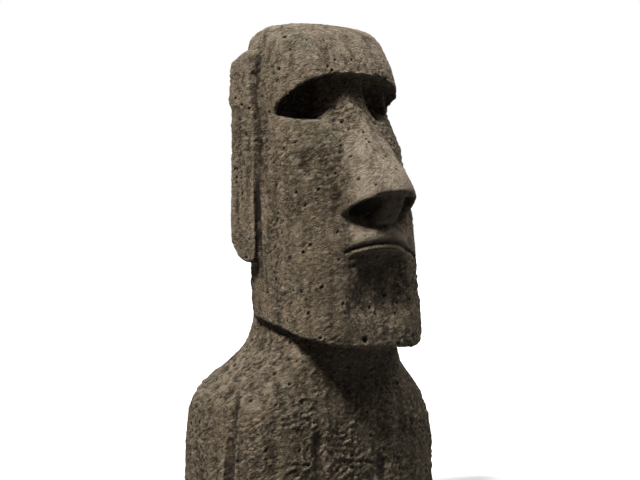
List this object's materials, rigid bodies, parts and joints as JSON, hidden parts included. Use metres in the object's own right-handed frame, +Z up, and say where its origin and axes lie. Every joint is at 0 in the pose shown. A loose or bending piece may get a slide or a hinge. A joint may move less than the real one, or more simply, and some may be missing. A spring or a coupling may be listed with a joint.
{
  "type": "moai stone head statue",
  "caption": "Carved stone bust with a long heavy-browed head, slab ears, broad nose and jutting chin on a thick neck and shoulders, cut flat below the chest.",
  "frame": {"origin": "centre of the bounding box's underside, on the flat cut below the chest", "axes": "+Z up, -Y out of the face, +X towards the statue's own left ear"},
  "size_m": [1.2, 1.0034, 2.228],
  "materials": {
    "weathered_stone": "matte"
  },
  "bodies": {
    "root": {"moai_bust": "weathered_stone"}
  },
  "joints": []
}
